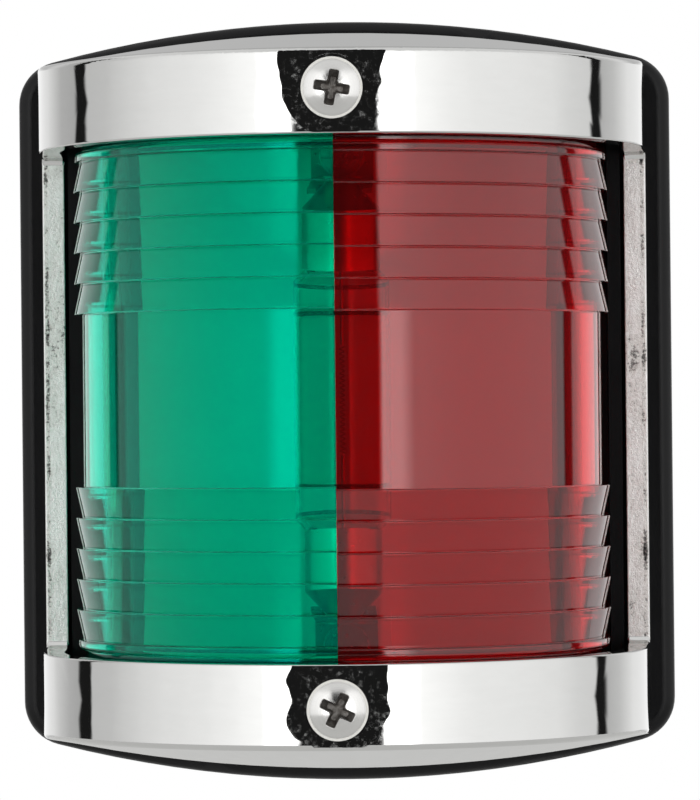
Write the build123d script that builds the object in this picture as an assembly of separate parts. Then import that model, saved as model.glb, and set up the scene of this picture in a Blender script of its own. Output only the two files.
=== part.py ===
from build123d import *
import math
import os

# A bicolour navigation light for a bulkhead, in millimetres.
# Every piece is drawn lying on its back: x runs across, y up the bulkhead, and z out of it, with
# z = 0 at the bulkhead. Writing a piece stands it up, so that up becomes +Z and the front -Y.

# Base plate and gasket
base_width = 73.0
base_height = 85.0
base_arch_radius = 130.0
base_corner_radius = 5.0
base_edge_radius = 1.5
gasket_thickness = 1.2
gasket_inset = 0.8
base_floor = 2.4
flange_thickness = 3.8
plinth_rise = 2.6
pocket_wall = 1.5
mounting_hole_radius = 2.0
mounting_hole_spacing = 36.0
mounting_head_radius = 3.4
mounting_head_room = 0.4
gasket_hole_margin = 0.4

# Cable grommet
cable_bore_radius = 3.0
grommet_wall = 1.5
grommet_lip = 1.1
grommet_lip_height = 1.2
grommet_room = 1.8

# Cover
cover_wall = 2.5
cover_side_margin = 3.4
cover_side_draft = 0.7
cover_end_margin = 1.3
cover_taper = 5.1
cover_rim_arch_radius = 155.0
cover_front_arch_radius = 300.0
cover_edge_radius = 0.6
band_height = 8.85
window_sill = 3.0
window_corner_radius = 1.0
window_edge_radius = 0.2
cover_fit = 0.35
boss_wall = 2.25
boss_length = 8.8
spot_face_radius = 3.5
spot_face_depth = 0.15

# Lens
lens_axis_depth = 22.0
lens_side_gap = 1.6
lens_front_gap = 0.5
lens_thickness = 3.0
lens_end_overlap = 1.75
lens_end_wall = 1.8
end_flange = 0.9
neck_height = 1.2
neck_drop = 1.1
lip_height = 1.1
lip_drop = 0.2
tooth_pitch = 3.3
tooth_count = 5
tooth_root_drop = 0.7
belt_drop = 0.85
seam_rib = 1.0
groove_fit = 0.3
seal_thickness = 1.0
side_before_curve = 5.0

# Cover screws, washers and thread inserts
screw_radius = 1.75
screw_head_radius = 2.95
screw_dome = 0.8
screw_length = 25.4
screw_tip_chamfer = 0.5
running_gap = 0.05
hole_gap = 0.2
washer_width = 0.25
seat_gap = 0.02
recess_length = 3.7
recess_width = 0.95
recess_depth = 1.5
recess_draft = 12.0
upper_recess_turn = -11.0
lower_recess_turn = -24.0
post_setback = 19.8
post_side = 1.4
post_skin = 0.25
tip_room = 1.0
insert_wall = 0.4
insert_length = 8.0
insert_collar_height = 0.6
insert_collar = 0.2

# Bulb
bulb_length = 41.0
bulb_glass_radius = 5.25
bulb_glass_wall = 0.5
bulb_cap_radius = 4.25
bulb_cap_wall = 0.3
bulb_cap_length = 9.5
bulb_tip_length = 3.0
bulb_tip_radius = 1.5
bulb_shoulder = 1.4
filament_radius = 0.35
filament_length = 12.0
support_wire_radius = 0.2

# Bulb carrier, contacts and terminals
carrier_fit = 0.2
cable_room = 3.4
carrier_thickness = 1.8
pad_half_width = 5.0
pad_rise = 3.6
wire_notch_radius = 1.5
wire_notch_offset = 2.2
strip_thickness = 0.5
strip_half_width = 3.5
strip_bend_radius = 0.4
contact_inset = 0.8
contact_reach = 4.5
notch_gap = 0.06
terminal_offset = 3.1
terminal_radius = 1.5
terminal_head_radius = 2.4
terminal_head_height = 1.8
terminal_length = 5.1
terminal_tip_room = 0.3
terminal_slot_width = 0.8
terminal_slot_depth = 0.9
terminal_washer_radius = 2.6
terminal_washer_thickness = 0.5

# Depths, counted out from the bulkhead
base_back = gasket_thickness
base_inside = base_back + base_floor
flange_front = base_back + flange_thickness
plinth_front = flange_front + plinth_rise
lens_foot = base_inside + seal_thickness
window_back = flange_front + window_sill
curve_start = lens_axis_depth - side_before_curve
carrier_back = base_inside + cable_room
carrier_front = carrier_back + carrier_thickness
pad_front = carrier_front + pad_rise

# Widths and heights from the middle
cover_half_width = base_width / 2 - cover_side_margin
rim_half_height = base_height / 2 - cover_end_margin
front_half_height = rim_half_height - cover_taper
window_half_height = front_half_height - band_height
lens_radius = cover_half_width - cover_wall - lens_side_gap
lens_inner_radius = lens_radius - lens_thickness
lens_half_height = window_half_height + lens_end_overlap
lens_inner_half_height = lens_half_height - lens_end_wall
cover_front = lens_axis_depth + lens_radius + lens_front_gap + cover_wall
spot_face = cover_front - spot_face_depth
post_front = cover_front - post_setback
post_inner = lens_half_height + groove_fit
mounting_hole_height = post_inner + mounting_head_radius + mounting_head_room
pocket_half_width = lens_inner_radius - groove_fit - pocket_wall
pocket_half_height = lens_inner_half_height - groove_fit - pocket_wall
contact_height = bulb_length / 2 - contact_inset
pad_inner = contact_height - strip_thickness - 2 * strip_bend_radius
terminal_height = contact_height + terminal_offset
insert_bore_radius = screw_radius + running_gap
insert_radius = insert_bore_radius + insert_wall
collar_radius = insert_radius + insert_collar
post_half_width = collar_radius + post_side
screw_height = post_inner + collar_radius + post_skin
screw_hole_radius = screw_radius + hole_gap
sink_radius = screw_head_radius + washer_width
boss_radius = screw_hole_radius + boss_wall
grommet_radius = cable_bore_radius + grommet_wall
cable_drop = pad_inner - grommet_radius - grommet_lip - grommet_room

beyond = 5.0
sliver = 0.001
lying_to_standing = Rot(90, 0, 0)


def write(node, shape):
    export_step(lying_to_standing * shape, f"parts/{node}.step")


def sagitta(radius, half_chord):
    return radius - math.sqrt(radius**2 - half_chord**2)


def slab(half_width, half_height, back, front):
    box = Box(2 * half_width, 2 * half_height, front - back)
    return Pos(0, 0, (back + front) / 2) * box


def rod(radius, x, y, back, front):
    return Pos(x, y, (back + front) / 2) * Cylinder(radius, front - back)


def arched_face(half_width, half_height, drop):
    # A rectangle whose top and bottom are arcs, lower at the corners by drop.
    corner = half_height - drop
    top = ThreePointArc((-half_width, corner), (0, half_height), (half_width, corner))
    right = Line((half_width, corner), (half_width, -corner))
    bottom = ThreePointArc((half_width, -corner), (0, -half_height), (-half_width, -corner))
    left = Line((-half_width, -corner), (-half_width, corner))
    return make_face(Curve() + [top, right, bottom, left])


def turned_about_height(profile, arc=360.0):
    # Turns (radius, height) points about the upright line through the lens's axis.
    plane = Plane(origin=(0, 0, lens_axis_depth))
    face = plane * make_face(Polyline(*profile, close=True))
    return revolve(face, Axis((0, 0, lens_axis_depth), (0, 1, 0)), arc)


def turned_about_depth(profile, y):
    # Turns (radius, depth) points about a line that runs out of the bulkhead at height y.
    plane = Plane(origin=(0, y, 0), x_dir=(1, 0, 0), z_dir=(0, -1, 0))
    face = plane * make_face(Polyline(*profile, close=True))
    return revolve(face, Axis((0, y, 0), (0, 0, 1)))


def base_outline(inset):
    half_width = base_width / 2 - inset
    drop = sagitta(base_arch_radius - inset, half_width)
    face = arched_face(half_width, base_height / 2 - inset, drop)
    return fillet(face.vertices(), base_corner_radius - inset)


def cover_envelope(inset, back):
    # The cover's outer form shrunk by inset: sides that draw in to half an ellipse, between arched
    # ends that draw in towards the front.
    side_slope = cover_side_draft / (curve_start - flange_front)
    half_width = cover_half_width - inset * math.hypot(1, side_slope)
    back_half_width = half_width + side_slope * (curve_start - back)
    nose = cover_front - curve_start - inset
    side_a = Line((-back_half_width, back), (-half_width, curve_start))
    curve = EllipticalCenterArc((0, curve_start), half_width, nose, 0, arc_size=180)
    side_b = Line((half_width, curve_start), (back_half_width, back))
    closing = Line((back_half_width, back), (-back_half_width, back))
    plan = Plane.XZ * make_face(Curve() + [side_a, curve, side_b, closing])
    tall = extrude(plan, base_height, both=True)

    wide = cover_half_width + beyond
    length = cover_front - flange_front
    slope = cover_taper / length
    rim_drop = sagitta(cover_rim_arch_radius, wide)
    front_drop = sagitta(cover_front_arch_radius, wide)
    end_inset = inset * math.hypot(1, slope)
    sections = []
    for depth in (back - beyond, cover_front + beyond):
        share = (depth - flange_front) / length
        half_height = rim_half_height - cover_taper * share - end_inset
        drop = rim_drop + (front_drop - rim_drop) * share
        sections.append(Pos(0, 0, depth) * arched_face(wide, half_height, drop))
    return tall & loft(sections, ruled=True)


def mounting_holes(radius, back, front):
    across = mounting_hole_spacing / 2
    return [
        rod(radius, side * across, end * mounting_hole_height, back, front)
        for side in (-1, 1)
        for end in (-1, 1)
    ]


def mounting_gasket():
    body = extrude(base_outline(gasket_inset), gasket_thickness)
    body -= mounting_holes(mounting_hole_radius + gasket_hole_margin, 0, gasket_thickness)
    body -= rod(grommet_radius + gasket_hole_margin, 0, -cable_drop, 0, gasket_thickness)
    return body


def lens_groove():
    outer = slab(lens_radius + groove_fit, lens_half_height + groove_fit, base_inside, plinth_front)
    inner = slab(
        lens_inner_radius - groove_fit, lens_inner_half_height - groove_fit, base_inside, plinth_front
    )
    return outer - inner


def base_plate():
    flange = extrude(Pos(0, 0, base_back) * base_outline(0), flange_thickness)
    flange = fillet(flange.faces().sort_by(Axis.Z)[-1].edges(), base_edge_radius)
    inside_cover = cover_envelope(cover_wall + cover_fit, base_inside)
    body = flange + (inside_cover & slab(base_width, base_height, base_inside, plinth_front))
    for side in (-1, 1):
        reach = base_height / 2 - post_inner
        post = Pos(0, side * (post_inner + reach / 2), (base_inside + post_front) / 2) * Box(
            2 * post_half_width, reach, post_front - base_inside
        )
        body += post & inside_cover
    body -= lens_groove()
    body -= slab(pocket_half_width, pocket_half_height, base_inside, plinth_front)
    body -= mounting_holes(mounting_hole_radius, base_back, plinth_front)
    body -= rod(grommet_radius, 0, -cable_drop, base_back, base_inside)
    insert_back = post_front - insert_length
    collar_back = post_front - insert_collar_height
    screw_tip = spot_face - screw_length
    for side in (-1, 1):
        y = side * screw_height
        body -= rod(insert_radius, 0, y, insert_back, post_front)
        body -= rod(collar_radius, 0, y, collar_back, post_front)
        body -= rod(insert_bore_radius, 0, y, min(insert_back, screw_tip) - tip_room, insert_back)
    return body


def cable_grommet():
    lip_front = base_inside + grommet_lip_height
    body = rod(grommet_radius, 0, -cable_drop, base_back, lip_front)
    body += rod(grommet_radius + grommet_lip, 0, -cable_drop, base_inside, lip_front)
    return body - rod(cable_bore_radius, 0, -cable_drop, base_back, lip_front)


def lens_seal():
    return lens_groove() & slab(base_width, base_height, base_inside, lens_foot)


def thread_insert(side):
    back = post_front - insert_length
    collar_back = post_front - insert_collar_height
    body = rod(insert_radius, 0, side * screw_height, back, post_front)
    body += rod(collar_radius, 0, side * screw_height, collar_back, post_front)
    return body - rod(insert_bore_radius, 0, side * screw_height, back, post_front)


def lens_half(side):
    # side is -1 for the left half and 1 for the right half, as seen from the front.
    profile = [(0, lens_half_height), (lens_radius, lens_half_height)]
    height = lens_half_height - end_flange
    profile += [(lens_radius, height), (lens_radius - neck_drop, height)]
    height -= neck_height
    profile += [(lens_radius - neck_drop, height), (lens_radius - lip_drop, height)]
    height -= lip_height
    profile += [(lens_radius - lip_drop, height)]
    for tooth in range(tooth_count):
        profile += [(lens_radius - tooth_root_drop, height)]
        height -= tooth_pitch
        profile += [(lens_radius, height)]
    profile += [(lens_radius - belt_drop, height)]
    outside = profile + [(radius, -height) for radius, height in reversed(profile)]
    inside = [
        (0, -lens_inner_half_height),
        (lens_inner_radius, -lens_inner_half_height),
        (lens_inner_radius, lens_inner_half_height),
        (0, lens_inner_half_height),
    ]
    front = turned_about_height(outside + inside, -90.0)
    section = Pos(0, 0, lens_foot) * make_face(Polyline(*outside, *inside, close=True))
    half = front + extrude(section, lens_axis_depth - lens_foot, dir=(0, 0, 1))
    rib_front = lens_axis_depth + lens_inner_radius + lens_thickness / 2
    rib_back = lens_axis_depth + lens_inner_radius - seam_rib
    rib = Pos(seam_rib / 2, 0, (rib_front + rib_back) / 2) * Box(
        seam_rib, 2 * lens_inner_half_height, rib_front - rib_back
    )
    half += rib
    return half if side > 0 else mirror(half, Plane.YZ)


def screw_cone(radius_at_face, radius_at_end):
    # Profile of a right-angled cone that is radius_at_face wide at the spot face.
    end = spot_face - (radius_at_face - radius_at_end)
    return [(radius_at_face, spot_face), (radius_at_end, end)]


def window_rim(body):
    # The bands' edges along the window, outside and inside the cover.
    rim = []
    for edge in body.edges():
        box = edge.bounding_box()
        level = box.size.Y < sliver and abs(abs(box.max.Y) - window_half_height) < sliver
        if level and box.size.Z > sliver:
            rim.append(edge)
    return rim


def cover():
    outer = cover_envelope(0, flange_front)
    ends = [
        edge
        for edge in outer.edges()
        if edge.center().Z > flange_front + cover_edge_radius
        and abs(edge.center().Y) > window_half_height
    ]
    outer = fillet(ends, cover_edge_radius)
    body = outer - cover_envelope(cover_wall, flange_front - beyond)
    for side in (-1, 1):
        boss = rod(boss_radius, 0, side * screw_height, cover_front - boss_length, cover_front)
        clear_of_lens = Pos(0, side * (post_inner + base_height / 2), cover_front / 2) * Box(
            base_width, base_height, cover_front
        )
        body += boss & clear_of_lens & cover_envelope(cover_wall / 2, flange_front)
    window = slab(base_width, window_half_height, window_back, cover_front + beyond)
    back_edges = window.edges().filter_by(Axis.X).group_by(Axis.Z)[0]
    body -= fillet(back_edges, window_corner_radius)
    for side in (-1, 1):
        y = side * screw_height
        body -= rod(spot_face_radius, 0, y, spot_face, cover_front + beyond)
        body -= rod(screw_hole_radius, 0, y, cover_front - boss_length - beyond, cover_front)
        sink = screw_cone(sink_radius, screw_hole_radius)
        body -= turned_about_depth([(0, spot_face), *sink, (0, sink[-1][1])], y)
    return fillet(window_rim(body), window_edge_radius)


def screw_washer(side):
    thickness = washer_width - seat_gap
    outer = screw_cone(screw_head_radius + thickness, screw_radius + thickness + washer_width)
    inner = [(radius - thickness, depth) for radius, depth in outer]
    return turned_about_depth([*outer, *reversed(inner)], side * screw_height)


def cover_screw(side, recess_turn):
    y = side * screw_height
    cone = screw_cone(screw_head_radius - seat_gap, screw_radius)
    tip = spot_face - screw_length
    shank = [(screw_radius, tip + screw_tip_chamfer), (screw_radius - screw_tip_chamfer, tip)]
    body = turned_about_depth([(0, spot_face), *cone, *shank, (0, tip)], y)
    rise = screw_dome
    ball_radius = (screw_head_radius**2 + rise**2) / (2 * rise)
    ball = Pos(0, y, spot_face + rise - ball_radius) * Sphere(ball_radius)
    head = rod(screw_head_radius - seat_gap, 0, y, spot_face, spot_face + rise)
    body += head & ball
    cross = Rectangle(recess_length, recess_width) + Rectangle(recess_width, recess_length)
    place = Pos(0, y, spot_face + rise) * Rot(0, 0, recess_turn)
    body -= extrude(place * cross, -recess_depth, taper=recess_draft)
    return body


def bulb_cap(side):
    top = bulb_length / 2
    cone = top - bulb_tip_length
    mouth = top - bulb_cap_length
    inner = bulb_cap_radius - bulb_cap_wall
    outline = [(0, top), (bulb_tip_radius, top), (bulb_cap_radius, cone), (bulb_cap_radius, mouth)]
    outline += [(inner, mouth), (inner, cone), (0, cone)]
    cap = turned_about_height(outline)
    return cap if side > 0 else mirror(cap, Plane.XZ)


def bulb_glass():
    # The tube narrows at each end to a neck that stands in the cap, sealed round its wire.
    mouth = bulb_length / 2 - bulb_cap_length
    neck = bulb_cap_radius - bulb_cap_wall
    wall = bulb_glass_wall
    radius = bulb_glass_radius
    end = bulb_length / 2 - bulb_tip_length
    wire = support_wire_radius
    outside = [(wire, end), (neck, end), (neck, mouth), (radius, mouth - bulb_shoulder)]
    inside = [(wire, end - wall), (neck - wall, end - wall), (neck - wall, mouth - wall)]
    inside += [(radius - wall, mouth - wall - bulb_shoulder)]
    lower_outside = [(r, -y) for r, y in reversed(outside)]
    lower_inside = [(r, -y) for r, y in inside]
    return turned_about_height(outside + lower_outside + lower_inside + inside[::-1])


def bulb_filament():
    half = filament_length / 2
    outline = [(0, half), (filament_radius, half), (filament_radius, -half), (0, -half)]
    return turned_about_height(outline)


def bulb_support_wires():
    start = filament_length / 2
    end = bulb_length / 2 - bulb_tip_length
    wire = support_wire_radius
    upper = turned_about_height([(0, start), (wire, start), (wire, end), (0, end)])
    return Compound([upper, mirror(upper, Plane.XZ)])


def bulb_carrier():
    # A plate on two feet, so that the cable can run under it from the grommet to the notches.
    half_width = pocket_half_width - carrier_fit
    half_height = pocket_half_height - carrier_fit
    body = slab(half_width, half_height, carrier_back, carrier_front)
    pad_outer = min(half_height, terminal_height + terminal_washer_radius)
    for side in (-1, 1):
        pad = Box(2 * pad_half_width, pad_outer - pad_inner, pad_front - base_inside)
        middle = side * (pad_inner + pad_outer) / 2
        body += Pos(0, middle, (base_inside + pad_front) / 2) * pad
        bore = terminal_radius + running_gap
        screw_tip = pad_front + strip_thickness + terminal_washer_thickness - terminal_length
        body -= rod(bore, 0, side * terminal_height, screw_tip - terminal_tip_room, pad_front)
        across = pad_half_width + wire_notch_offset
        body -= rod(wire_notch_radius, across, side * half_height, carrier_back, carrier_front)
    return body


def bulb_contact(side):
    # A bent strip: the foot lies on the pad, and the fork stands up round the bulb's tip.
    near = contact_height - strip_thickness / 2
    far = contact_height + strip_thickness / 2
    outer = min(pocket_half_height - carrier_fit, terminal_height + terminal_washer_radius)
    foot_front = pad_front + strip_thickness
    tip = lens_axis_depth + contact_reach
    bend = [(near, pad_front), (outer, pad_front), (outer, foot_front), (far, foot_front)]
    bend += [(far, tip), (near, tip)]
    profile = make_face(Polyline(*bend, close=True))
    inner_corner = profile.vertices().sort_by_distance((far, foot_front))[0]
    profile = fillet(inner_corner, strip_bend_radius)
    outer_corner = profile.vertices().sort_by_distance((near, pad_front))[0]
    profile = fillet(outer_corner, strip_bend_radius + strip_thickness)
    strip = extrude(Plane.YZ * profile, strip_half_width, both=True)
    slope = (bulb_cap_radius - bulb_tip_radius) / bulb_tip_length
    notch = bulb_tip_radius + slope * (bulb_length / 2 - near) + notch_gap
    strip -= Pos(0, contact_height, lens_axis_depth) * Rot(90, 0, 0) * Cylinder(notch, beyond)
    opening = Box(2 * notch, beyond, contact_reach + beyond)
    middle = lens_axis_depth + (contact_reach + beyond) / 2
    strip -= Pos(0, contact_height, middle) * opening
    strip -= rod(terminal_radius + running_gap, 0, terminal_height, pad_front, foot_front)
    return strip if side > 0 else mirror(strip, Plane.XZ)


def terminal_washer(side):
    back = pad_front + strip_thickness
    front = back + terminal_washer_thickness
    y = side * terminal_height
    hole = rod(terminal_radius + running_gap, 0, y, back, front)
    return rod(terminal_washer_radius, 0, y, back, front) - hole


def terminal_screw(side):
    under_head = pad_front + strip_thickness + terminal_washer_thickness
    top = under_head + terminal_head_height
    y = side * terminal_height
    body = rod(terminal_radius, 0, y, under_head - terminal_length, under_head)
    body += rod(terminal_head_radius, 0, y, under_head, top)
    slot = Box(2 * terminal_head_radius + beyond, terminal_slot_width, terminal_slot_depth)
    return body - Pos(0, y, top - terminal_slot_depth / 2) * slot


os.makedirs("parts", exist_ok=True)
write("mounting_gasket", mounting_gasket())
write("base_plate", base_plate())
write("cable_grommet", cable_grommet())
write("lens_seal", lens_seal())
write("green_lens", lens_half(-1))
write("red_lens", lens_half(1))
write("cover", cover())
write("bulb_glass", bulb_glass())
write("bulb_filament", bulb_filament())
write("bulb_support_wires", bulb_support_wires())
write("bulb_carrier", bulb_carrier())
for name, side, recess_turn in (("upper", 1, upper_recess_turn), ("lower", -1, lower_recess_turn)):
    write(f"{name}_cover_screw", cover_screw(side, recess_turn))
    write(f"{name}_screw_washer", screw_washer(side))
    write(f"{name}_thread_insert", thread_insert(side))
    write(f"{name}_bulb_cap", bulb_cap(side))
    write(f"{name}_bulb_contact", bulb_contact(side))
    write(f"{name}_terminal_washer", terminal_washer(side))
    write(f"{name}_terminal_screw", terminal_screw(side))
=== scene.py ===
import math

import bmesh
import bpy
from mathutils import Matrix, Vector


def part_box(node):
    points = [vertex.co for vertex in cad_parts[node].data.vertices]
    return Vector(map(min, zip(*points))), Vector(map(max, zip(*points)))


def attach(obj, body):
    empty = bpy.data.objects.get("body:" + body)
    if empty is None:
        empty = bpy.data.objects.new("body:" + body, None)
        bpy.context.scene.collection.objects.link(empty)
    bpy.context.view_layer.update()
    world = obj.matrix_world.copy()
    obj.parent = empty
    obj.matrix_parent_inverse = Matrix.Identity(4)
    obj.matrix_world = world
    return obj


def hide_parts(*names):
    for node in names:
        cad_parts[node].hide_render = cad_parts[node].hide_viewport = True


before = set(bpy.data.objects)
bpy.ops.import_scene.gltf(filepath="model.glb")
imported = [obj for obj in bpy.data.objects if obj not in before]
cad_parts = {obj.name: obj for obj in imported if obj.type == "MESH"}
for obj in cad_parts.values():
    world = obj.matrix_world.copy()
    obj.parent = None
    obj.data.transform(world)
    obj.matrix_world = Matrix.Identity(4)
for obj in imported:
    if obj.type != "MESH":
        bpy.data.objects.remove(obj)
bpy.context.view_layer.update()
print("frame loaded:", len(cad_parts), "nodes")

mm = 0.001


# small helpers for node trees and meshes
def addNode(tree, kind, inputs=None, **settings):
    made = tree.nodes.new(kind)
    for key, value in settings.items():
        setattr(made, key, value)
    for key, value in (inputs or {}).items():
        if isinstance(value, Field):
            value = value.socket
        if isinstance(value, bpy.types.NodeSocket):
            tree.links.new(value, made.inputs[key])
        else:
            made.inputs[key].default_value = value
    return made


class Field:
    # a socket that sums, products and comparisons can be written with
    def __init__(self, tree, socket):
        self.tree = tree
        self.socket = socket

    def math(self, operation, *others, clamp=False):
        inputs = dict(enumerate((self, *others)))
        made = addNode(self.tree, "ShaderNodeMath", inputs, operation=operation, use_clamp=clamp)
        return Field(self.tree, made.outputs[0])

    def __add__(self, other):
        return self.math("ADD", other)

    def __sub__(self, other):
        return self.math("SUBTRACT", other)

    def __mul__(self, other):
        return self.math("MULTIPLY", other)

    def __truediv__(self, other):
        return self.math("DIVIDE", other)

    def over(self, other):
        return self.math("GREATER_THAN", other)

    def under(self, other):
        return self.math("LESS_THAN", other)

    def between(self, low, high):
        return self.over(low) * self.under(high)

    def ramp(self, *stops):
        # stops are (position, value) pairs, in rising order
        made = addNode(self.tree, "ShaderNodeValToRGB", {0: self})
        elements = made.color_ramp.elements
        while len(elements) < len(stops):
            elements.new(0.5)
        for element, (position, value) in zip(elements, stops):
            element.position = position
            shade = value if hasattr(value, "__len__") else (value,) * 3
            element.color = (*shade, 1.0)
        return Field(self.tree, made.outputs[0])


def separate(tree, vector):
    made = addNode(tree, "ShaderNodeSeparateXYZ", {0: vector})
    return [Field(tree, made.outputs[axis]) for axis in range(3)]


def combine(tree, x, y, z):
    return addNode(tree, "ShaderNodeCombineXYZ", {0: x, 1: y, 2: z}).outputs[0]


def tidyMesh(mesh, sharpAngle=30.0):
    # doubles merged, faces outward, smooth between the sharp edges
    work = bmesh.new()
    work.from_mesh(mesh)
    bmesh.ops.remove_doubles(work, verts=work.verts, dist=0.002 * mm)
    bmesh.ops.dissolve_degenerate(work, edges=work.edges, dist=0.001 * mm)
    bmesh.ops.recalc_face_normals(work, faces=work.faces)
    for face in work.faces:
        face.smooth = True
    work.to_mesh(mesh)
    work.free()
    mesh.set_sharp_from_angle(angle=math.radians(sharpAngle))
    return mesh


def newPiece(name, mesh, material):
    piece = bpy.data.objects.new(name, mesh)
    bpy.context.scene.collection.objects.link(piece)
    if material is not None:
        mesh.materials.clear()
        mesh.materials.append(material)
    return piece


def weighted(piece):
    # large faces keep their own normals beside small rounded ones
    modifier = piece.modifiers.new("weighted", "WEIGHTED_NORMAL")
    modifier.keep_sharp = True
    modifier.weight = 100
    return applied(piece)


def applied(piece):
    graph = bpy.context.evaluated_depsgraph_get()
    graph.update()
    mesh = bpy.data.meshes.new_from_object(piece.evaluated_get(graph))
    piece.modifiers.clear()
    piece.data = mesh
    return piece


# the camera, the floor and the soft white room that the polish mirrors
camera = {
    "target": (0.0, -25.0, 0.0),      # point the viewing distance is counted from
    "aim": (0.90, -25.0, -0.03),      # point in the middle of the picture
    "distance": 560.1,
    "right": 1.45,                    # degrees round to the red side
    "up": -0.24,
    "roll": -0.56,
    "lens": 233.1,
}


def makeCamera():
    turn, lift = math.radians(camera["right"]), math.radians(camera["up"])
    away = Vector((math.sin(turn) * math.cos(lift), -math.cos(turn) * math.cos(lift), math.sin(lift)))
    place = Vector(camera["target"]) + away * camera["distance"]
    look = Vector(camera["aim"]) - place
    data = bpy.data.cameras.new("camera")
    data.lens = camera["lens"]
    data.sensor_width = 36.0
    data.clip_start = 0.02
    made = bpy.data.objects.new("camera", data)
    turned = look.to_track_quat("-Z", "Y").to_matrix().to_4x4()
    turned = turned @ Matrix.Rotation(math.radians(camera["roll"]), 4, "Z")
    made.matrix_world = Matrix.Translation(place * mm) @ turned
    bpy.context.scene.collection.objects.link(made)
    bpy.context.scene.camera = made


studio = {
    # brightness by angle away from the camera's side, in degrees, round to the left and to the right
    "left": (
        (17.2, 0.015), (19.0, 1.9), (38.0, 1.6), (48.0, 1.45), (58.0, 1.33), (78.0, 1.2),
        (89.0, 1.07), (104.0, 0.85), (115.0, 0.8), (116.4, 0.015), (123.2, 0.015), (124.8, 0.6),
        (133.0, 0.65), (149.0, 1.0), (165.0, 1.1),
    ),
    "right": (
        (17.2, 0.015), (19.0, 1.9), (38.0, 1.6), (48.0, 1.45), (58.0, 1.36), (78.0, 1.3),
        (94.0, 1.23), (104.0, 1.08), (115.6, 1.0), (117.1, 0.015), (122.8, 0.015), (124.4, 0.7),
        (133.0, 0.85), (145.0, 1.1), (165.0, 1.1),
    ),
    "strip": (19.0, 27.0, 33.0),      # brighter upright strip beside the camera
    "stripGain": 1.9,
    "stripTilt": (11.0, 15.0),
    "ringTilt": (30.0, 40.0),         # the panels end here, under a white ceiling
    "ceiling": 1.0,
    "behindAbove": 0.62,              # greyer wall behind, above and below the light
    "behindTurn": (140.0, 155.0),
    "behindTilt": (5.0, 9.0),
    "floorDrop": 300.0,
    "floorRadius": 1500.0,
}


def makeStudio():
    world = bpy.data.worlds.new("studio")
    bpy.context.scene.world = world
    world.use_nodes = True
    tree = world.node_tree
    tree.nodes.clear()
    direction = addNode(tree, "ShaderNodeTexCoord").outputs["Generated"]
    x, y, z = separate(tree, direction)
    turn = x.math("ARCTAN2", y * -1.0).math("ABSOLUTE") / math.pi
    tilt = z.math("ARCSINE").math("ABSOLUTE") / math.pi

    def along(angle, stops):
        return angle.ramp(*((degrees / 180, value / 2) for degrees, value in stops)) * 2.0

    onRight = x.over(0.0)
    ring = along(turn, studio["left"]) * (onRight * -1.0 + 1.0) + along(turn, studio["right"]) * onRight
    first, full, last = studio["strip"]
    strip = along(turn, ((first - 1, 0.0), (first, 1.0), (full, 1.0), (last, 0.0)))
    low, high = studio["stripTilt"]
    strip = strip * along(tilt, ((low, 1.0), (high, 0.0))) * studio["stripGain"]
    low, high = studio["ringTilt"]
    level = along(tilt, ((low, 1.0), (high, 0.0)))
    ring = (ring + strip) * level + (level * -1.0 + 1.0) * studio["ceiling"]
    (low, high), (near, far) = studio["behindTurn"], studio["behindTilt"]
    behind = along(turn, ((low, 0.0), (high, 1.0))) * along(tilt, ((near, 0.0), (far, 1.0)))
    ring = ring * (behind * -1.0 + 1.0) + behind * studio["behindAbove"]
    seen = Field(tree, addNode(tree, "ShaderNodeLightPath").outputs["Is Camera Ray"])
    strength = ring * (seen * -1.0 + 1.0) + seen
    shade = addNode(tree, "ShaderNodeBackground", {"Color": (1, 1, 1, 1), "Strength": strength})
    addNode(tree, "ShaderNodeOutputWorld", {"Surface": shade.outputs[0]})

    floorMesh = bpy.data.meshes.new("floor")
    work = bmesh.new()
    bmesh.ops.create_circle(work, cap_ends=True, segments=96, radius=studio["floorRadius"] * mm)
    bmesh.ops.translate(work, verts=work.verts, vec=(0, 0, -studio["floorDrop"] * mm))
    work.to_mesh(floorMesh)
    work.free()
    floor = newPiece("floor", floorMesh, plainMaterial("paleFloor", (0.82, 0.82, 0.81), 0.7))
    scene = bpy.context.scene
    scene.view_settings.view_transform = "Standard"
    scene.view_settings.look = "None"


def newMaterial(name, colour, roughness, **sockets):
    material = bpy.data.materials.new(name)
    material.use_nodes = True
    tree = material.node_tree
    shader = tree.nodes["Principled BSDF"]
    shader.inputs["Base Color"].default_value = (*colour, 1.0)
    shader.inputs["Roughness"].default_value = roughness
    for label, value in sockets.items():
        shader.inputs[label.replace("_", " ")].default_value = value
    place = addNode(tree, "ShaderNodeTexCoord").outputs["Object"]
    return material, tree, shader, place


def noiseAt(tree, place, perMetre, detail=3.0, rough=0.5, stretch=(1, 1, 1)):
    scaled = addNode(tree, "ShaderNodeMapping", {"Vector": place, "Scale": stretch}).outputs[0]
    made = addNode(
        tree, "ShaderNodeTexNoise",
        {"Vector": scaled, "Scale": perMetre, "Detail": detail, "Roughness": rough},
    )
    return Field(tree, made.outputs["Fac"])


def setBump(tree, shader, height, distance, strength=1.0):
    made = addNode(
        tree, "ShaderNodeBump", {"Height": height, "Distance": distance, "Strength": strength}
    )
    tree.links.new(made.outputs[0], shader.inputs["Normal"])
    return made


def setInput(tree, shader, label, value):
    tree.links.new(value.socket, shader.inputs[label])


def tinted(tree, factor, colourA, colourB):
    made = addNode(
        tree, "ShaderNodeMix",
        {0: factor, 6: (*colourA, 1.0), 7: (*colourB, 1.0)}, data_type="RGBA",
    )
    return Field(tree, made.outputs[2])


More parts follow.
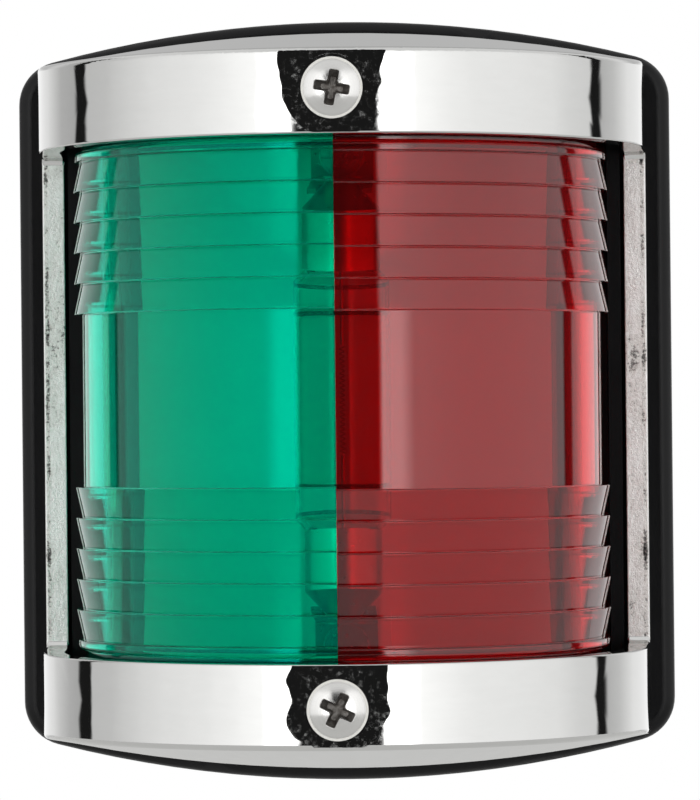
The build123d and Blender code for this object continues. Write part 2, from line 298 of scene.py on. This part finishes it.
def plainMaterial(name, colour, roughness, grain=0.02, perMetre=900.0, bump=0.01, **sockets):
    # one finish with a little mottling, uneven gloss and a fine grain
    material, tree, shader, place = newMaterial(name, colour, roughness, **sockets)
    cloud = noiseAt(tree, place, perMetre * 0.25)
    darker = tuple(max(0.0, channel * (1 - 6 * grain)) for channel in colour)
    setInput(tree, shader, "Base Color", tinted(tree, cloud, darker, colour))
    setInput(tree, shader, "Roughness", cloud * (4 * grain) + (roughness - 2 * grain))
    setBump(tree, shader, noiseAt(tree, place, perMetre, 4.0).socket, bump * mm)
    return material


coverLow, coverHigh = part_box("cover")
screwLow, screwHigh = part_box("upper_cover_screw")
coverFinish = {
    "steel": (0.60, 0.60, 0.59),
    "roughness": 0.03,
    "castRoughness": 0.5,
    "castMetal": 0.65,                # the cast faces are dull enough to look part painted
    "cutDepth": 0.05,                 # how near a face lies to count as cut
    "cutRim": 0.9,                    # a paler line this far from the pillars' outer edge
    "pitDepth": 0.12,
    "pitColours": (
        (0.30, (0.02, 0.02, 0.02)), (0.37, (0.25, 0.24, 0.23)), (0.42, (0.80, 0.79, 0.76)),
        (0.55, (0.97, 0.97, 0.95)),
    ),
    "ripple": 0.012,                  # mm, height of the waves left by polishing
    "patchRipple": 0.02,              # the same round the screws
    "patchRadius": 6.5,
    "patchGrime": 0.22,
    "scratch": 0.0015,
    "flatReach": 5.5,                 # half-width of the flatter metal at the screws
    "flatNarrow": 2.6,                # how much narrower it is, "narrowOver" below the screws
    "narrowOver": 4.5,
    "flatWander": 3.0,                # how far its edge strays
    "flatDepth": 7.0,                 # it ends this far behind the cover's front
    "flatGain": 0.85,
    "endTilt": 0.16,                  # the end faces are dished a little towards the front
    "screwHeight": (screwLow.z + screwHigh.z) / 2,
    "windowBack": -8.0,               # where the pillars' cut faces lie
    "windowTop": 27.0,
}


def coverMaterial():
    # mirror polish on the outside, rough as cast on the window's cut faces
    material, tree, shader, place = newMaterial(
        "polishedSteel", coverFinish["steel"], coverFinish["roughness"], Metallic=1.0
    )
    x, y, z = separate(tree, place)
    onCut = (y - coverFinish["windowBack"] * mm).math("ABSOLUTE").under(coverFinish["cutDepth"] * mm)
    cast = onCut * z.math("ABSOLUTE").under(coverFinish["windowTop"] * mm)
    # the cut face stays bright in the middle and pits towards its edges
    speck = noiseAt(tree, place, 3200.0, 6.0, 0.7)
    blot = noiseAt(tree, place, 420.0, 4.0, 0.65, (1.0, 1.0, 0.45))
    outside = x.math("ABSOLUTE") * -1.0 + coverHigh.x
    rim = outside / (coverFinish["cutRim"] * mm)
    rim = rim.ramp((0.0, 0.0), (0.35, 0.0), (0.55, 1.0), (0.8, 1.0), (1.0, 0.0))
    pitted = (speck * 0.45 + blot * 0.55 - rim * 0.09).ramp(*coverFinish["pitColours"])
    haze = noiseAt(tree, place, 260.0, 4.0, 0.6, (1.0, 1.0, 4.0))
    mottle = noiseAt(tree, place, 1500.0, 5.0, 0.7)
    aside = z.math("ABSOLUTE") - coverFinish["screwHeight"]
    reach = (x * x + aside * aside).math("SQRT") / (coverFinish["patchRadius"] * mm)
    patch = reach.ramp((0.7, 1.0), (1.0, 0.0))
    hazed = tuple(0.94 * channel for channel in coverFinish["steel"])
    cloud = tinted(tree, haze, hazed, coverFinish["steel"])
    mixed = addNode(tree, "ShaderNodeMix", {0: cast, 6: cloud, 7: pitted}, data_type="RGBA")
    tree.links.new(mixed.outputs[2], shader.inputs["Base Color"])
    smudge = mottle.ramp((0.48, 0.0), (0.66, 1.0)) * patch * coverFinish["patchGrime"]
    polish = haze * 0.05 + smudge + (coverFinish["roughness"] - 0.02)
    polish = (cast * -1.0 + 1.0) * polish + cast * coverFinish["castRoughness"]
    setInput(tree, shader, "Roughness", polish)
    setInput(tree, shader, "Metallic", cast * (coverFinish["castMetal"] - 1.0) + 1.0)
    wave = noiseAt(tree, place, 90.0, 2.0, 0.4) * (coverFinish["ripple"] * mm)
    dents = noiseAt(tree, place, 420.0, 2.0, 0.5) * patch * (coverFinish["patchRipple"] * mm)
    brushed = noiseAt(tree, place, 700.0, 4.0, 0.7, (0.25, 0.25, 7.0)) * (coverFinish["scratch"] * mm)
    pits = (speck + blot) * cast * (coverFinish["pitDepth"] * mm)
    bump = setBump(tree, shader, (wave + dents + brushed + pits).socket, 1.0)
    # the metal is flatter round the screws, so it mirrors the dark side that the camera stands on
    stray = (noiseAt(tree, place, 300.0, 1.0, 0.4) - 0.5) * (coverFinish["flatWander"] * mm)
    onUpper = z.over(0.0) * 2.0 - 1.0
    below = (onUpper * coverFinish["screwHeight"] - z) / (coverFinish["narrowOver"] * mm)
    below = below.math("MAXIMUM", 0.0)
    narrowed = below * below * (coverFinish["flatNarrow"] * mm)
    across = (x.math("ABSOLUTE") + stray + narrowed) / (coverFinish["flatReach"] * mm)
    onFront = (y - coverLow.y).under(coverFinish["flatDepth"] * mm)
    onFront = onFront * z.math("ABSOLUTE").over(coverFinish["windowTop"] * mm)
    facing = addNode(tree, "ShaderNodeNewGeometry").outputs["Normal"]
    nx, ny, nz = separate(tree, facing)
    onEnd = nz.math("ABSOLUTE").ramp((0.8, 0.0), (0.95, 1.0))
    onFront = onFront * nz.math("ABSOLUTE").under(0.4) * coverFinish["flatGain"]
    flat = across.ramp((0.0, 1.0), (0.85, 1.0), (0.97, 0.0)) * onFront
    tilted = combine(tree, nx, ny - onEnd * coverFinish["endTilt"], nz)
    levelled = addNode(
        tree, "ShaderNodeMix", {0: flat, 4: tilted, 5: (0.0, -1.0, 0.0)}, data_type="VECTOR"
    ).outputs[1]
    level = addNode(tree, "ShaderNodeVectorMath", {0: levelled}, operation="NORMALIZE").outputs[0]
    tree.links.new(level, bump.inputs["Normal"])
    return material


lensFinish = {
    "green": (0.0, 0.87, 0.58),
    "red": (0.77, 0.012, 0.018),
    "greenGlint": (0.0, 1.0, 0.8),    # what the green moulding's surface leaves of a white reflection
    "redGlint": (1.0, 0.92, 0.92),
    "roughness": 0.02,
    "index": 1.58,
}


def lensMaterial(name, colour, glint):
    material, tree, shader, place = newMaterial(
        name, colour, lensFinish["roughness"], Transmission_Weight=0.955, IOR=lensFinish["index"],
        Specular_Tint=(*glint, 1.0),
    )
    cloud = noiseAt(tree, place, 120.0, 3.0)
    paler = tuple(min(1.0, channel * 1.06 + 0.004) for channel in colour)
    setInput(tree, shader, "Base Color", tinted(tree, cloud, colour, paler))
    setInput(tree, shader, "Roughness", noiseAt(tree, place, 500.0) * 0.03 + 0.005)
    setBump(tree, shader, noiseAt(tree, place, 60.0, 1.0).socket, 0.02 * mm)
    return material


def clearGlass():
    material, tree, shader, place = newMaterial(
        "bulbGlass", (0.97, 0.98, 0.98), 0.0, Transmission_Weight=1.0, IOR=1.5
    )
    setInput(tree, shader, "Roughness", noiseAt(tree, place, 700.0) * 0.02)
    setBump(tree, shader, noiseAt(tree, place, 150.0, 1.0).socket, 0.02 * mm)
    return material


def metalMaterial(name, colour, roughness, stretch=(1, 1, 1), perMetre=1500.0, bump=0.003):
    # turned or drawn metal: streaks follow stretch
    material, tree, shader, place = newMaterial(name, colour, roughness, Metallic=1.0)
    streak = noiseAt(tree, place, perMetre, 4.0, 0.6, stretch)
    darker = tuple(channel * 0.82 for channel in colour)
    setInput(tree, shader, "Base Color", tinted(tree, streak, darker, colour))
    setInput(tree, shader, "Roughness", streak * 0.16 + (roughness - 0.08))
    setBump(tree, shader, streak.socket, bump * mm)
    return material


screwFinish = {
    "steel": (0.66, 0.655, 0.64),
    "shadow": (0.10, 0.085, 0.072),   # painted shade in the recess
    "roughness": 0.2,
    "dome": 0.8,                      # the head's height over the cover
    "recessReach": 2.1,
}


def screwMaterial(name, end):
    # a turned head whose streaks run round it, with painted shade in its recess, mottled by grit
    material, tree, shader, place = newMaterial(
        name, screwFinish["steel"], screwFinish["roughness"], Metallic=1.0
    )
    low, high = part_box(f"{end}_cover_screw")
    face, height = low.y + screwFinish["dome"] * mm, (low.z + high.z) / 2
    x, y, z = separate(tree, place)
    up = z - height
    reach = (x * x + up * up).math("SQRT")
    streak = noiseAt(tree, combine(tree, reach, y, 0.0), 2500.0, 3.0, 0.6)
    around = up.math("ARCTAN2", x)
    fan = noiseAt(tree, combine(tree, around * mm, reach * 0.2, 0.0), 900.0, 2.0, 0.5)
    level = y * -1.0 + face
    sunk = level.under(0.4 * mm) * level.over(-1.0 * mm)
    sunk = sunk * reach.under(screwFinish["recessReach"] * mm)
    grit = noiseAt(tree, place, 2600.0, 4.0, 0.7)
    # painted shade: inside the recess the colour is mixed toward the shadow colour, mottled by the grit
    # noise
    mottle = sunk * grit.ramp((0.3, 0.98), (0.75, 0.55))
    bright = tinted(tree, streak, tuple(0.8 * c for c in screwFinish["steel"]), screwFinish["steel"])
    mixed = addNode(
        tree, "ShaderNodeMix", {0: mottle, 6: bright, 7: (*screwFinish["shadow"], 1.0)}, data_type="RGBA"
    )
    tree.links.new(mixed.outputs[2], shader.inputs["Base Color"])
    setInput(tree, shader, "Roughness", streak * 0.12 + sunk * 0.35 + (screwFinish["roughness"] - 0.06))
    ridges = streak * 0.004 + fan * 0.05 + grit * sunk * 0.05
    setBump(tree, shader, (ridges * mm).socket, 1.0)
    return material


makeCamera()
makeStudio()
materials = {
    "base_plate": plainMaterial(
        "blackBase", (0.0035, 0.0035, 0.004), 0.34, 0.02, 1800.0, 0.02, Specular_IOR_Level=0.17
    ),
    "mounting_gasket": plainMaterial("gasketRubber", (0.012, 0.012, 0.012), 0.8, 0.03, 900.0, 0.03),
    "cable_grommet": plainMaterial("grommetRubber", (0.015, 0.015, 0.015), 0.7, 0.03, 900.0, 0.02),
    "lens_seal": plainMaterial("sealRubber", (0.02, 0.02, 0.02), 0.75, 0.03, 900.0, 0.02),
    "bulb_carrier": plainMaterial("carrierPlastic", (0.90, 0.90, 0.88), 0.4, 0.006, 700.0, 0.01),
    "cover": coverMaterial(),
    "bulb_glass": clearGlass(),
    "bulb_support_wires": metalMaterial("drawnWire", (0.45, 0.44, 0.43), 0.3),
    "bulb_filament": metalMaterial("tungsten", (0.28, 0.28, 0.30), 0.35),
}
for end in ("upper", "lower"):
    materials[f"{end}_cover_screw"] = screwMaterial(f"{end}ScrewSteel", end)
    materials[f"{end}_screw_washer"] = plainMaterial("washerNylon", (0.75, 0.74, 0.70), 0.4)
    materials[f"{end}_thread_insert"] = metalMaterial("insertBrass", (0.80, 0.58, 0.25), 0.3)
    materials[f"{end}_bulb_cap"] = metalMaterial("capNickel", (0.48, 0.47, 0.45), 0.3)
    materials[f"{end}_bulb_contact"] = metalMaterial("contactNickel", (0.45, 0.43, 0.38), 0.3)
    materials[f"{end}_terminal_washer"] = metalMaterial("terminalNickel", (0.7, 0.69, 0.66), 0.28)
    materials[f"{end}_terminal_screw"] = metalMaterial("terminalSteel", (0.72, 0.71, 0.68), 0.25)
for name, material in materials.items():
    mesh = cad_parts[name].data
    mesh.materials.clear()
    mesh.materials.append(material)
print("studio and materials made:", len(materials))


# node trees that make geometry, with named inputs
def newTree(name, inputs):
    tree = bpy.data.node_groups.new(name, "GeometryNodeTree")
    tree.interface.new_socket("Geometry", in_out="OUTPUT", socket_type="NodeSocketGeometry")
    for label, kind, value in inputs:
        socket = tree.interface.new_socket(label, in_out="INPUT", socket_type=kind)
        if value is not None:
            socket.default_value = value
    source = tree.nodes.new("NodeGroupInput")
    return tree, {label: Field(tree, source.outputs[label]) for label, kind, value in inputs}


def closeTree(tree, geometry, material):
    real = addNode(tree, "GeometryNodeRealizeInstances", {0: geometry}).outputs[0]
    dressed = addNode(tree, "GeometryNodeSetMaterial", {0: real, "Material": material})
    addNode(tree, "NodeGroupOutput", {0: dressed.outputs[0]})


def grown(name, tree, values):
    # runs a tree with named values and keeps the result as a plain mesh
    piece = newPiece(name, bpy.data.meshes.new(name), None)
    modifier = piece.modifiers.new("grown", "NODES")
    modifier.node_group = tree
    sockets = {item.name: item.identifier for item in tree.interface.items_tree if item.in_out == "INPUT"}
    for label, value in values.items():
        modifier[sockets[label]] = value
    return applied(piece)


redLow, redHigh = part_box("red_lens")
lens = {
    "Outer Radius": redHigh.x,
    "Inner Radius": redHigh.x - 3.0 * mm,
    "Half Height": redHigh.z,
    "End Wall": 1.8 * mm,
    "Flange": 0.9 * mm,
    "Neck Height": 1.2 * mm,
    "Neck Drop": 1.1 * mm,
    "Lip Height": 1.1 * mm,
    "Lip Drop": 0.2 * mm,
    "Tooth Pitch": 3.3 * mm,
    "Tooth Count": 5,
    "Root Drop": 0.7 * mm,
    "Belt Drop": 0.85 * mm,
    "Edge Round": 0.09 * mm,
    "Lip Round": 0.4 * mm,
    "Axis Depth": -redLow.y - redHigh.x,
    "Foot": -redHigh.y,
    "Arc Steps": 72,
    "Seam Gap": 0.015 * mm,
    "Side": 1.0,
    "Lift": 0.0,
}


def lensTree():
    kinds = {"Tooth Count": "NodeSocketInt", "Arc Steps": "NodeSocketInt"}
    inputs = [(label, kinds.get(label, "NodeSocketFloat"), value) for label, value in lens.items()]
    tree, size = newTree("toothedLens", [*inputs, ("Material", "NodeSocketMaterial", None)])
    outer, teeth = size["Outer Radius"], size["Tooth Count"]
    perSide = teeth * 2.0 + 8.0           # outline points from the axis to the belt
    line = addNode(tree, "GeometryNodeMeshLine", {"Count": perSide * 2.0 + 4.0}).outputs[0]
    index = Field(tree, addNode(tree, "GeometryNodeInputIndex").outputs[0])

    step = index.math("MINIMUM", perSide * 2.0 - 1.0 - index)
    tooth = (step - 6.0).math("MAXIMUM", 0.0)
    isBelt = tooth.over(teeth * 2.0 + 0.5)
    isRoot = tooth.math("MODULO", 2.0) * (isBelt * -1.0 + 1.0)
    height = size["Half Height"] - size["Flange"] * step.over(1.5)
    height = height - size["Neck Height"] * step.over(3.5) - size["Lip Height"] * step.over(5.5)
    height = height - size["Tooth Pitch"] * (tooth * 0.5).math("FLOOR")
    radius = outer * step.over(0.5) - size["Neck Drop"] * step.between(2.5, 4.5)
    radius = radius - size["Lip Drop"] * step.between(4.5, 6.5)
    radius = radius - size["Root Drop"] * isRoot - size["Belt Drop"] * isBelt
    mirrored = index.over(perSide - 0.5) * -2.0 + 1.0

    inner = index - perSide * 2.0
    isInner = inner.over(-0.5)
    innerHeight = (size["Half Height"] - size["End Wall"]) * (inner.over(1.5) * 2.0 - 1.0)
    innerRadius = size["Inner Radius"] * inner.between(0.5, 2.5)
    outline = combine(
        tree,
        radius * (isInner * -1.0 + 1.0) + innerRadius * isInner,
        height * mirrored * (isInner * -1.0 + 1.0) + innerHeight * isInner,
        0.0,
    )
    line = addNode(tree, "GeometryNodeSetPosition", {"Geometry": line, "Position": outline}).outputs[0]
    curve = addNode(tree, "GeometryNodeMeshToCurve", {0: line}).outputs[0]
    curve = addNode(tree, "GeometryNodeSetSplineCyclic", {"Geometry": curve, "Cyclic": True}).outputs[0]
    place = addNode(tree, "GeometryNodeInputPosition").outputs[0]
    px, py, pz = separate(tree, place)
    lipTop = size["Half Height"] - size["Flange"] - size["Neck Height"]
    onLip = (py.math("ABSOLUTE") - lipTop).math("ABSOLUTE").under(0.1 * mm)
    onLip = onLip * px.over(outer - size["Lip Drop"] * 1.5)
    rounding = size["Edge Round"] * px.over(1.0 * mm) + size["Lip Round"] * onLip
    curve = addNode(
        tree, "GeometryNodeFilletCurve",
        {"Curve": curve, "Count": 3, "Radius": rounding, "Limit Radius": True}, mode="POLY",
    ).outputs[0]
    ring = addNode(tree, "GeometryNodeCurveToMesh", {"Curve": curve}).outputs[0]
    count = addNode(tree, "GeometryNodeAttributeDomainSize", {"Geometry": ring}).outputs["Point Count"]
    count = Field(tree, count)

    # the outline is carried round the quarter turn and then straight back to the foot
    columns = size["Arc Steps"] + 2.0
    rows = count + 1.0
    grid = addNode(
        tree, "GeometryNodeMeshGrid",
        {"Size X": columns - 1.0, "Size Y": rows - 1.0, "Vertices X": columns, "Vertices Y": rows},
    ).outputs[0]
    gx, gy, gz = separate(tree, place)
    column = gx + (columns - 1.0) * 0.5
    row = ((gy + (rows - 1.0) * 0.5 + 0.5).math("FLOOR")).math("MODULO", count)
    sampled = addNode(
        tree, "GeometryNodeSampleIndex", {"Geometry": ring, "Value": place, "Index": row},
        data_type="FLOAT_VECTOR", domain="POINT",
    ).outputs[0]
    sr, sz, unused = separate(tree, sampled)
    angle = (column / size["Arc Steps"]).math("MINIMUM", 1.0) * (math.pi / 2)
    straight = column.over(size["Arc Steps"] + 0.5) * (size["Axis Depth"] - size["Foot"])

    def placed(radius, height, angleSine, angleCosine, back):
        across = (radius * angleSine + size["Seam Gap"]) * size["Side"]
        depth = back - size["Axis Depth"] - radius * angleCosine
        return combine(tree, across, depth, height + size["Lift"])

    wall = addNode(
        tree, "GeometryNodeSetPosition",
        {"Geometry": grid, "Position": placed(sr, sz, angle.math("SINE"), angle.math("COSINE"), straight)},
    ).outputs[0]
    face = addNode(tree, "GeometryNodeFillCurve", {"Curve": curve}, mode="NGONS").outputs[0]
    one, none = size["Side"] * size["Side"], size["Side"] * 0.0
    seam = addNode(
        tree, "GeometryNodeSetPosition", {"Geometry": face, "Position": placed(px, py, none, one, none)}
    ).outputs[0]
    back = size["Axis Depth"] - size["Foot"]
    foot = addNode(
        tree, "GeometryNodeSetPosition", {"Geometry": face, "Position": placed(px, py, one, none, back)}
    ).outputs[0]
    joined = addNode(tree, "GeometryNodeJoinGeometry")
    for part in (wall, seam, foot):
        tree.links.new(part, joined.inputs[0])
    merged = addNode(
        tree, "GeometryNodeMergeByDistance", {"Geometry": joined.outputs[0], "Distance": 0.002 * mm}
    ).outputs[0]
    closeTree(tree, merged, size["Material"])
    return tree


toothed = lensTree()
for colour, side, lift in (("green", -1.0, 0.13), ("red", 1.0, -0.13)):
    material = lensMaterial(f"{colour}Moulding", lensFinish[colour], lensFinish[f"{colour}Glint"])
    values = {**lens, "Side": side, "Lift": lift * mm, "Material": material}
    half = grown(f"{colour}LensHalf", toothed, values)
    tidyMesh(half.data, 35.0)
    weighted(half)
    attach(half, "lens")
    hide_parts(f"{colour}_lens")
    print(half.name, len(half.data.vertices), "points")


coverScrew = {
    "headRadius": 2.93,
    "dome": 0.8,
    "length": 25.4,
    "tipChamfer": 0.5,
    "core": 1.36,
    "recessTurn": {"upper": -10.0, "lower": -26.0},
    "recessTop": (1.85, 0.50),        # half the cross's length and half an arm's width, at the face
    "recessBottom": (1.15, 0.30),
    "recessDepth": 1.45,
    "endRound": 0.28,
    "innerRound": 0.25,
    "lip": 0.08,
    "domeRings": 7,
    "Neck": 1.7,                      # plain length under the head
    "Crest": 1.74,
    "Pitch": 0.6,
    "Steps": 28,
}


def crossOutline(halfLength, halfWidth, endRound, innerRound, steps=4, along=5):
    # an arm's side from the inner corner out, its rounded end and its other side, four times over
    side = []
    for index in range(steps + 1):
        turn = math.pi / 4 * (1 + index / steps)
        side.append((
            halfWidth + innerRound * (1 - math.cos(turn)),
            halfWidth + innerRound * (1 - math.sin(turn)),
        ))
    reach, start = halfLength - endRound, side[-1][0]
    side += [(start + (reach - start) * index / along, halfWidth) for index in range(1, along)]
    for index in range(steps + 1):
        turn = math.pi / 2 * (1 - index / steps)
        side.append((reach + endRound * math.cos(turn), halfWidth - endRound * (1 - math.sin(turn))))
    arm = [(across, -up) for across, up in side[1:]] + [(halfLength, 0.0)] + side[::-1]
    outline = []
    for quarter in range(4):
        cosine, sine = math.cos(math.pi / 2 * quarter), math.sin(math.pi / 2 * quarter)
        outline += [(a * cosine - b * sine, a * sine + b * cosine) for a, b in arm]
    return outline


def screwMesh(name, height, face, recessTurn):
    # rings that share the directions of the cross's outline, from the floor of the recess to the tip
    size = coverScrew
    rounds = size["endRound"], size["innerRound"]
    top = [Vector(point) for point in crossOutline(*size["recessTop"], *rounds)]
    bottom = [Vector(point) for point in crossOutline(*size["recessBottom"], *(0.8 * r for r in rounds))]
    directions = [point.normalized() for point in top]
    head, rise = size["headRadius"], size["dome"]
    ball = (head**2 + rise**2) / (2 * rise)

    def domeAt(radius):
        return rise - ball + math.sqrt(ball**2 - radius**2)

    def ringOf(points, level):
        return [(point.x, point.y, level(point.length) if callable(level) else level) for point in points]

    def circle(radius, level):
        return ringOf([direction * radius for direction in directions], level)

    lip, lipped = size["lip"], [point * (1 + size["lip"] / point.length) for point in top]
    rings = [ringOf(bottom, rise - size["recessDepth"])]
    nearTop = [a.lerp(b, 0.9) for a, b in zip(bottom, top)]
    rings.append(ringOf(nearTop, lambda radius: domeAt(radius) - 3 * lip))
    rings.append(ringOf(top, lambda radius: domeAt(radius) - lip))
    rings.append(ringOf(lipped, domeAt))
    for ring in range(1, size["domeRings"]):
        share = ring / size["domeRings"]
        between = [a.lerp(b * head, share) for a, b in zip(lipped, directions)]
        rings.append(ringOf(between, domeAt))
    rings += [circle(head - 0.05, domeAt), circle(head, 0.0), circle(head, -0.02)]
    core, tip = size["core"], -size["length"]
    neckFoot = -(head - size["Crest"])
    rings += [circle(size["Crest"], neckFoot), circle(size["Crest"], -size["Neck"] - 0.3)]
    rings += [circle(core, -size["Neck"] - 0.7), circle(core, tip + size["tipChamfer"])]
    rings.append(circle(core - size["tipChamfer"], tip))

    work = bmesh.new()
    cosine, sine = math.cos(math.radians(recessTurn)), math.sin(math.radians(recessTurn))
    made = []
    for ring in rings:
        made.append([
            work.verts.new((
                (a * cosine - b * sine) * mm,
                face - level * mm,
                height + (a * sine + b * cosine) * mm,
            ))
            for a, b, level in ring
        ])
    count = len(directions)
    for near, far in zip(made, made[1:]):
        for index in range(count):
            after = (index + 1) % count
            work.faces.new((near[index], near[after], far[after], far[index]))
    for ring, level in ((made[0], rise - size["recessDepth"] - 0.25), (made[-1], tip)):
        middle = work.verts.new((0.0, face - level * mm, height))
        for index in range(count):
            work.faces.new((ring[index], ring[(index + 1) % count], middle))
    mesh = bpy.data.meshes.new(name)
    work.to_mesh(mesh)
    work.free()
    return tidyMesh(mesh, 40.0)


def threadTree():
    # a ridge of five rows wound round the core, its underside closed and both ends drawn to a point
    inputs = [
        ("Turns", "NodeSocketFloat", 30.0), ("Steps", "NodeSocketInt", 28),
        ("Pitch", "NodeSocketFloat", 0.6 * mm), ("Core", "NodeSocketFloat", 1.36 * mm),
        ("Crest", "NodeSocketFloat", 1.74 * mm), ("Start", "NodeSocketFloat", 0.0),
        ("Height", "NodeSocketFloat", 0.0), ("Material", "NodeSocketMaterial", None),
    ]
    tree, size = newTree("screwThread", inputs)
    columns = (size["Turns"] * size["Steps"]).math("ROUND") + 1.0
    grid = addNode(
        tree, "GeometryNodeMeshGrid",
        {"Size X": columns - 1.0, "Size Y": 5.0, "Vertices X": columns, "Vertices Y": 6},
    ).outputs[0]
    gx, gy, gz = separate(tree, addNode(tree, "GeometryNodeInputPosition").outputs[0])
    column = gx + (columns - 1.0) * 0.5
    row = (gy + 3.0).math("FLOOR").math("MODULO", 5.0) - 2.0
    offset = row.math("ABSOLUTE")
    turn = column / size["Steps"]
    fade = turn.math("MINIMUM", size["Turns"] - turn).math("MULTIPLY", 1.2, clamp=True)
    onCrest = offset.under(1.5)
    radius = size["Core"] - 0.02 * mm + (size["Crest"] - size["Core"] + 0.02 * mm) * fade * onCrest
    spread = row.math("SIGN") * (offset.over(0.5) * 0.07 + offset.over(1.5) * 0.40) * fade.over(0.001)
    depth = size["Start"] + (turn + spread) * size["Pitch"]
    angle = turn * (2 * math.pi)
    wound = combine(
        tree, radius * angle.math("SINE"), depth, size["Height"] + radius * angle.math("COSINE")
    )
    ridge = addNode(tree, "GeometryNodeSetPosition", {"Geometry": grid, "Position": wound}).outputs[0]
    merged = addNode(
        tree, "GeometryNodeMergeByDistance", {"Geometry": ridge, "Distance": 0.002 * mm}
    ).outputs[0]
    closeTree(tree, merged, size["Material"])
    return tree


def joinedPiece(name, pieces):
    # one piece from several meshes with the same material
    work = bmesh.new()
    for piece in pieces:
        work.from_mesh(piece.data)
    mesh = bpy.data.meshes.new(name)
    work.to_mesh(mesh)
    work.free()
    material = pieces[0].data.materials[0]
    for piece in pieces:
        bpy.data.objects.remove(piece)
    return newPiece(name, mesh, material)


thread = threadTree()
for end in ("upper", "lower"):
    low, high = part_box(f"{end}_cover_screw")
    height, face = (low.z + high.z) / 2, low.y + coverScrew["dome"] * mm
    material = materials[f"{end}_cover_screw"]
    shank = screwMesh(f"{end}Shank", height, face, coverScrew["recessTurn"][end])
    shank = newPiece(f"{end}Shank", shank, material)
    wound = coverScrew["length"] - coverScrew["Neck"] - coverScrew["tipChamfer"] - coverScrew["Pitch"]
    helix = grown(f"{end}Thread", thread, {
        "Turns": wound / coverScrew["Pitch"],
        "Steps": coverScrew["Steps"],
        "Pitch": coverScrew["Pitch"] * mm,
        "Core": coverScrew["core"] * mm,
        "Crest": coverScrew["Crest"] * mm,
        "Start": face + (coverScrew["Neck"] + coverScrew["Pitch"]) * mm,
        "Height": height,
        "Material": material,
    })
    screw = joinedPiece(f"{end}CoverScrew", [shank, helix])
    tidyMesh(screw.data, 40.0)
    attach(screw, f"{end}_cover_screw")
    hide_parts(f"{end}_cover_screw")
    print(screw.name, len(screw.data.vertices), "points")


filamentLow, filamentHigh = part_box("bulb_filament")
coil = {
    "Turns": 22.0,
    "Radius": 0.27 * mm,
    "Wire": 0.055 * mm,
    "Length": filamentHigh.z - filamentLow.z - 0.4 * mm,
    "Low": filamentLow.z + 0.2 * mm,
    "Depth": (filamentLow.y + filamentHigh.y) / 2,
}


def filamentTree():
    inputs = [(label, "NodeSocketFloat", value) for label, value in coil.items()]
    tree, size = newTree("filamentCoil", [*inputs, ("Material", "NodeSocketMaterial", None)])
    spiral = addNode(
        tree, "GeometryNodeCurveSpiral",
        {"Resolution": 14, "Rotations": size["Turns"], "Start Radius": size["Radius"],
         "End Radius": size["Radius"], "Height": size["Length"]},
    ).outputs[0]
    lift = combine(tree, 0.0, size["Depth"], size["Low"])
    spiral = addNode(tree, "GeometryNodeSetPosition", {"Geometry": spiral, "Offset": lift}).outputs[0]
    profile = addNode(
        tree, "GeometryNodeCurvePrimitiveCircle", {"Resolution": 6, "Radius": size["Wire"]}
    ).outputs[0]
    wire = addNode(
        tree, "GeometryNodeCurveToMesh", {"Curve": spiral, "Profile Curve": profile, "Fill Caps": True}
    ).outputs[0]
    closeTree(tree, wire, size["Material"])
    return tree


filament = grown("filamentCoil", filamentTree(), {**coil, "Material": materials["bulb_filament"]})
tidyMesh(filament.data, 60.0)
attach(filament, "bulb")
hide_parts("bulb_filament")
print(filament.name, len(filament.data.vertices), "points")
